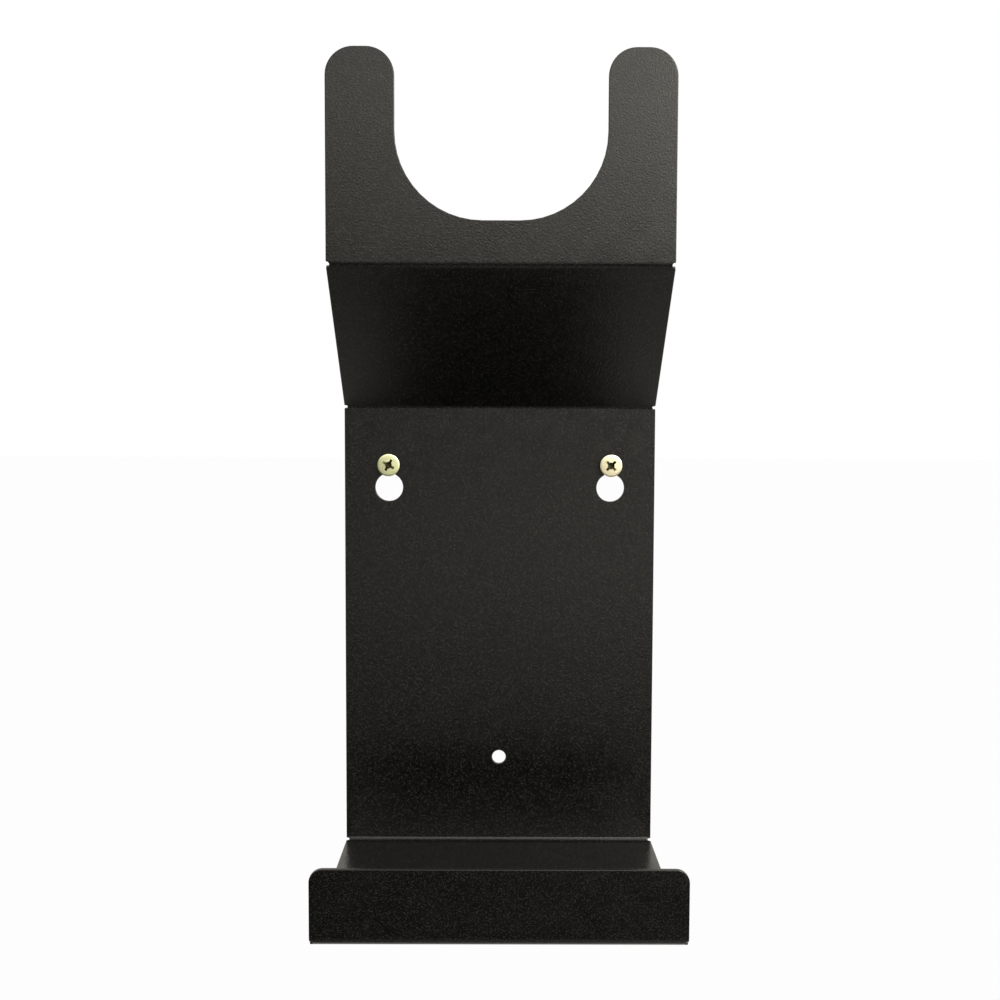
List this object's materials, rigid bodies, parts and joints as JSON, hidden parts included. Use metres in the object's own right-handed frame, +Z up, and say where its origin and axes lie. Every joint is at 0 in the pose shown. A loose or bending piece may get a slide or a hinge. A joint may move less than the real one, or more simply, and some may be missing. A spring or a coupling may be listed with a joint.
{
  "type": "salon tool wall holder",
  "caption": "Folded steel wall holder for a hair dryer and styling tools: a U-shaped cradle above a shallow lipped tray, hung by keyholes on screws in wall plugs.",
  "frame": {"origin": "midway between the two screw axes, on the wall's surface", "axes": "+Y into the wall, +Z up, +X to the right of a person who faces the wall"},
  "size_m": [0.112, 0.1175, 0.2731],
  "materials": {
    "powder_coat": "black fine-texture polyester powder coat, matt",
    "zinc_plate": "yellow passivated zinc plate, bright",
    "nylon": "moulded grey nylon"
  },
  "bodies": {
    "fixings": {"wall_screw_left": "zinc_plate", "wall_screw_right": "zinc_plate", "wall_plug_left": "nylon", "wall_plug_right": "nylon"},
    "holder": {"folded_bracket": "powder_coat"}
  },
  "joints": [
    {"name": "lift_off_slide", "type": "slide", "parent": "fixings", "child": "holder", "axis": [0, 0, 1], "range_m": [0, 0.0109]}
  ]
}
